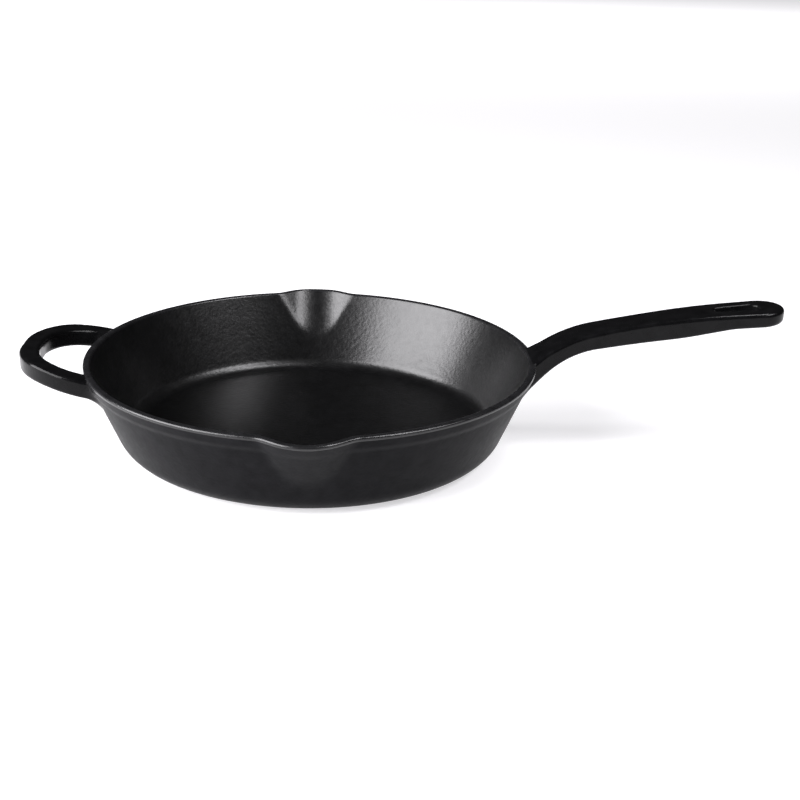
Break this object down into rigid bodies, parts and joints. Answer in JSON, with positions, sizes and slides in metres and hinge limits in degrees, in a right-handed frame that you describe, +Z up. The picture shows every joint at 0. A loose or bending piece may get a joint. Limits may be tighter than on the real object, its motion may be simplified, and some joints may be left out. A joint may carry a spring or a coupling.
{
  "type": "cast iron skillet",
  "caption": "Round cast iron skillet with black enamel, flared wall, pour spouts, a long handle with a hang hole and a short loop helper handle opposite.",
  "frame": {"origin": "centre of the flat base, on the plane it rests on", "axes": "+X along the long handle, +Y towards one pour spout, +Z up"},
  "size_m": [0.4742, 0.2984, 0.0896],
  "materials": {
    "cast_iron": "sand-cast, hidden under the enamel",
    "enamel_inside": "satin black, fine pebbled grain",
    "enamel_rim": "satin black, thin over the edge",
    "enamel_outside": "satin black",
    "enamel_handles": "glossy black with a slight orange peel"
  },
  "bodies": {
    "root": {"iron_pan": "cast_iron", "iron_long_handle": "cast_iron", "iron_helper_handle": "cast_iron", "inside_enamel": "enamel_inside", "rim_enamel": "enamel_rim", "wall_enamel": "enamel_outside", "base_enamel": "enamel_outside", "long_handle_enamel": "enamel_handles", "helper_handle_enamel": "enamel_handles"}
  },
  "joints": []
}
